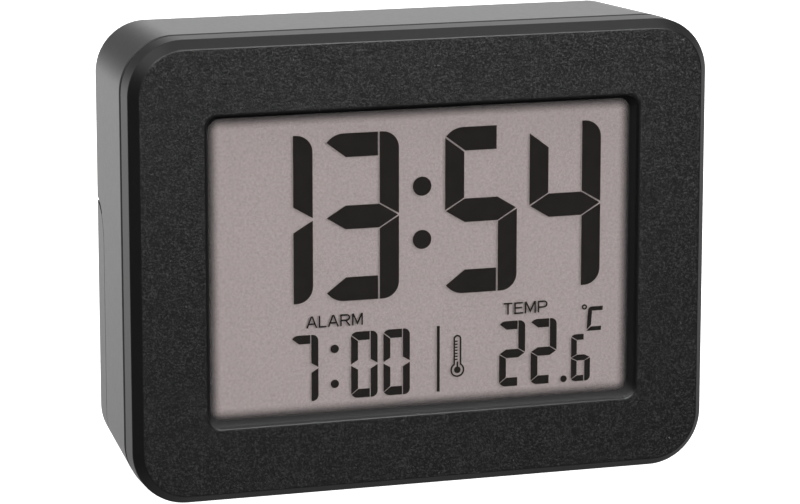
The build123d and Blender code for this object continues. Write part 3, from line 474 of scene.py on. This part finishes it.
def add_word(name, text, left, right, base, height, stroke, depth, material):
    """Word in flat strokes in an upright plane, spread evenly between its ends."""
    widths = [letter_strokes(letter)[0] for letter in text]
    natural = sum(widths) + LETTER_GAP * (len(text) - 1)
    stretch = (right - left) / natural
    shape = bmesh.new()
    start = 0.0
    for letter, width in zip(text, widths):
        for line in letter_strokes(letter)[1]:
            points = [(left + (start + x) * stretch, base + z * height) for x, z in line]
            add_stroke(shape, points, stroke, depth)
        start += width + LETTER_GAP
    mesh = bpy.data.meshes.new(name)
    shape.to_mesh(mesh)
    shape.free()
    mesh.materials.append(material)
    made = bpy.data.objects.new(name, mesh)
    bpy.context.scene.collection.objects.link(made)
    low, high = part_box("lcd_time_digits")
    body = made.modifiers.new("crystal", "SOLIDIFY")
    body.thickness = high.y - low.y
    body.offset = -1.0
    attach(made, ROOT)
    return made


def add_mark(name, text, size, middle, body, material):
    """Printed mark on a surface of the back, upright and readable from behind."""
    curve = bpy.data.curves.new(name + "_outline", "FONT")
    curve.body = text
    curve.size = size
    curve.align_x = "CENTER"
    curve.align_y = "CENTER"
    curve.extrude = PRINT_THICKNESS / 2
    curve.resolution_u = 4
    outline = bpy.data.objects.new(name + "_outline", curve)
    bpy.context.scene.collection.objects.link(outline)
    bpy.context.view_layer.update()
    seen = outline.evaluated_get(bpy.context.evaluated_depsgraph_get())
    mesh = bpy.data.meshes.new_from_object(seen)
    bpy.data.objects.remove(outline)
    spots = [vertex.co.copy() for vertex in mesh.vertices]
    low = [min(spot[axis] for spot in spots) for axis in (0, 1)]
    high = [max(spot[axis] for spot in spots) for axis in (0, 1)]
    shift_x, shift_z = ((a + b) / 2 for a, b in zip(low, high))
    for vertex, spot in zip(mesh.vertices, spots):
        vertex.co = (middle.x - spot.x + shift_x, middle.y + spot.z, middle.z + spot.y - shift_z)
    mesh.flip_normals()
    mesh.materials.clear()
    mesh.materials.append(material)
    made = bpy.data.objects.new(name, mesh)
    bpy.context.scene.collection.objects.link(made)
    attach(made, body)
    return made


def add_marks(material):
    """Marks on the keys, and beside the two places of the slide switch."""
    marks = []
    for button, (text, size) in KEY_MARKS.items():
        low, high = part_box(button)
        middle = Vector(((low.x + high.x) / 2, high.y, (low.z + high.z) / 2))
        marks.append(add_mark(button.replace("_button", "_mark"), text, size, middle, button, material))
    low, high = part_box("alarm_switch_housing")
    panel = cad_high.y - PANEL_RECESS
    for text, step in SWITCH_MARKS.items():
        middle = Vector(((low.x + high.x) / 2 + step, panel, (low.z + high.z) / 2 - SWITCH_MARK_DROP))
        name = "switch_mark_" + text.lower()
        marks.append(add_mark(name, text, SWITCH_MARK_SIZE, middle, ROOT, material))
    return marks


def add_words(material):
    """Words above the two small readings, in the plane of the segments."""
    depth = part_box("lcd_time_digits")[0].y
    for text, (left, right) in WORDS.items():
        name = "word_" + text.lower()
        base = MIDDLE_HEIGHT + WORD_BASE
        word = add_word(name, text, left, right, base, WORD_HEIGHT, WORD_STROKE, depth, material)


def clear_the_view():
    """Lets light reach the display through its clear layers, and the crystal show behind its glass."""
    for name in ("window_lens", "lcd_front_polarizer", "lcd_front_glass", "lcd_rear_glass"):
        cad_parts[name].visible_shadow = False
    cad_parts["lcd_reflector"].visible_glossy = False
    # The crystal lies on the glass, face to face, so only the crystal is drawn there
    for name in ("lcd_front_glass", "lcd_rear_glass"):
        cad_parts[name].visible_camera = False


def add_floor():
    """Plain pale floor, with only a faint shadow."""
    mesh = bpy.data.meshes.new("floor")
    shape = bmesh.new()
    bmesh.ops.create_circle(shape, cap_ends=True, radius=FLOOR_RADIUS, segments=96)
    shape.to_mesh(mesh)
    shape.free()
    floor = bpy.data.objects.new("floor", mesh)
    bpy.context.scene.collection.objects.link(floor)
    material, tree, shader = new_material("floor_finish", Base_Color=(0.9, 0.9, 0.9), Roughness=0.9)
    shader.inputs["Emission Color"].default_value = (1.0, 1.0, 1.0, 1.0)
    shader.inputs["Emission Strength"].default_value = FLOOR_GLOW
    mesh.materials.append(material)
    floor.location.z = -FLOOR_GAP
    floor.visible_glossy = False
    floor.visible_diffuse = False


def patch(tree, direction, middle, reach, factor):
    """Factor on the light within two angles in degrees round a direction, and 1 outside them."""
    made = tree.nodes.new("ShaderNodeVectorMath")
    made.operation = "DOT_PRODUCT"
    made.inputs[1].default_value = middle
    tree.links.new(direction, made.inputs[0])
    inner, outer = (math.cos(math.radians(angle)) for angle in reach)
    return ramp(tree, made.outputs["Value"], outer, inner, 1.0, factor)


def add_world():
    """Soft light of the studio, set by direction, and white where it is seen directly."""
    world = bpy.data.worlds.new("studio")
    world.use_nodes = True
    tree = world.node_tree
    direction = tree.nodes.new("ShaderNodeTexCoord")
    parts = tree.nodes.new("ShaderNodeSeparateXYZ")
    tree.links.new(direction.outputs["Generated"], parts.inputs["Vector"])
    right, back, up = (parts.outputs[axis] for axis in "XYZ")
    behind = ramp(tree, back, *BACK_SPAN, LIGHT_BASE, LIGHT_BACK)
    behind = combine(tree, "MULTIPLY", behind, ramp(tree, up, *LOW_SPAN, LIGHT_LOW_SHARE, 1.0))
    behind = combine(tree, "MULTIPLY", behind, ramp(tree, up, *LOWEST_SPAN, LIGHT_LOWEST_SHARE, 1.0))
    behind = combine(tree, "MULTIPLY", behind, ramp(tree, up, *HIGH_SPAN, 1.0, LIGHT_HIGH_SHARE))
    top = ramp(tree, up, *TOP_SPAN, 0.0, LIGHT_TOP)
    top = combine(tree, "MULTIPLY", top, ramp(tree, right, *RIGHT_SPAN, 1.0, LIGHT_RIGHT_SHARE))
    below = ramp(tree, up, *BELOW_SPAN, LIGHT_BELOW, 0.0)
    light = combine(tree, "MAXIMUM", combine(tree, "MAXIMUM", behind, top), below)
    way = direction.outputs["Generated"]
    shade = patch(tree, way, DARK_PATCH, DARK_PATCH_REACH, 1.0 - DARK_PATCH_SHARE)
    gain = patch(tree, way, BRIGHT_PATCH, BRIGHT_PATCH_REACH, 1.0 + BRIGHT_PATCH_GAIN)
    light = combine(tree, "MULTIPLY", combine(tree, "MULTIPLY", light, shade), gain)
    path = tree.nodes.new("ShaderNodeLightPath")
    light = combine(tree, "MAXIMUM", light, path.outputs["Is Camera Ray"])
    tree.links.new(light, tree.nodes["Background"].inputs["Color"])
    bpy.context.scene.world = world


def add_light(name, place, target, size, power):
    """Square soft light that looks at a point."""
    light = bpy.data.lights.new(name, "AREA")
    light.size = size
    light.energy = power
    made = bpy.data.objects.new(name, light)
    made.location = place
    made.rotation_euler = (Vector(target) - Vector(place)).to_track_quat("-Z", "Y").to_euler()
    bpy.context.scene.collection.objects.link(made)
    return made


def light_only(light, pieces):
    """Lets a light fall on the given pieces alone."""
    lit = bpy.data.collections.new(light.name + "_falls_on")
    for piece in pieces:
        lit.objects.link(piece)
    light.light_linking.receiver_collection = lit


def pass_through(light, names):
    """Lets a light pass the named nodes without a shadow."""
    clear = bpy.data.collections.new(light.name + "_passes")
    for name in names:
        clear.objects.link(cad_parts[name])
    for entry in clear.collection_objects:
        entry.light_linking.link_state = "EXCLUDE"
    light.light_linking.blocker_collection = clear


def add_lamps(marks):
    """Soft lamps of the studio, each with the pieces that it falls on and those that it passes."""
    lamps = {name: add_light(name, *values) for name, values in LAMPS.items()}
    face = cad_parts["front_frame"]
    for name in DULL_LAMPS:
        lamps[name].visible_glossy = False
    lamps["edge_light"].visible_diffuse = False
    pass_through(lamps["key_light"], SEGMENT_NODES + ("front_frame",))
    pass_through(lamps["shadow_light"], ("front_frame",))
    for name in FRAME_LAMPS:
        light_only(lamps[name], [face])
    light_only(lamps["back_light"], [*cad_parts.values(), *marks])
    for name in SIDE_LAMPS:
        light_only(lamps[name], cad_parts.values())


def add_camera():
    """Camera at the viewing angle of the photograph."""
    camera = bpy.data.cameras.new("photo_camera")
    camera.sensor_width = SENSOR_WIDTH
    camera.lens = CAMERA_LENS
    made = bpy.data.objects.new("photo_camera", camera)
    made.location = CAMERA_PLACE
    made.rotation_euler = (math.pi / 2 - CAMERA_DOWN, 0.0, CAMERA_TURN)
    bpy.context.scene.collection.objects.link(made)
    bpy.context.scene.camera = made


materials = finishes()
dress_nodes(materials)
add_words(materials["display_ink"])
marks = add_marks(mottled("mark_print_finish", (0.60, 0.60, 0.59), (0.68, 0.68, 0.67), 0.5 * MM, 0.6))
clear_the_view()
add_floor()
add_world()
add_lamps(marks)
add_camera()
scene = bpy.context.scene
scene.view_settings.view_transform = "Standard"
scene.cycles.transparent_max_bounces = 24
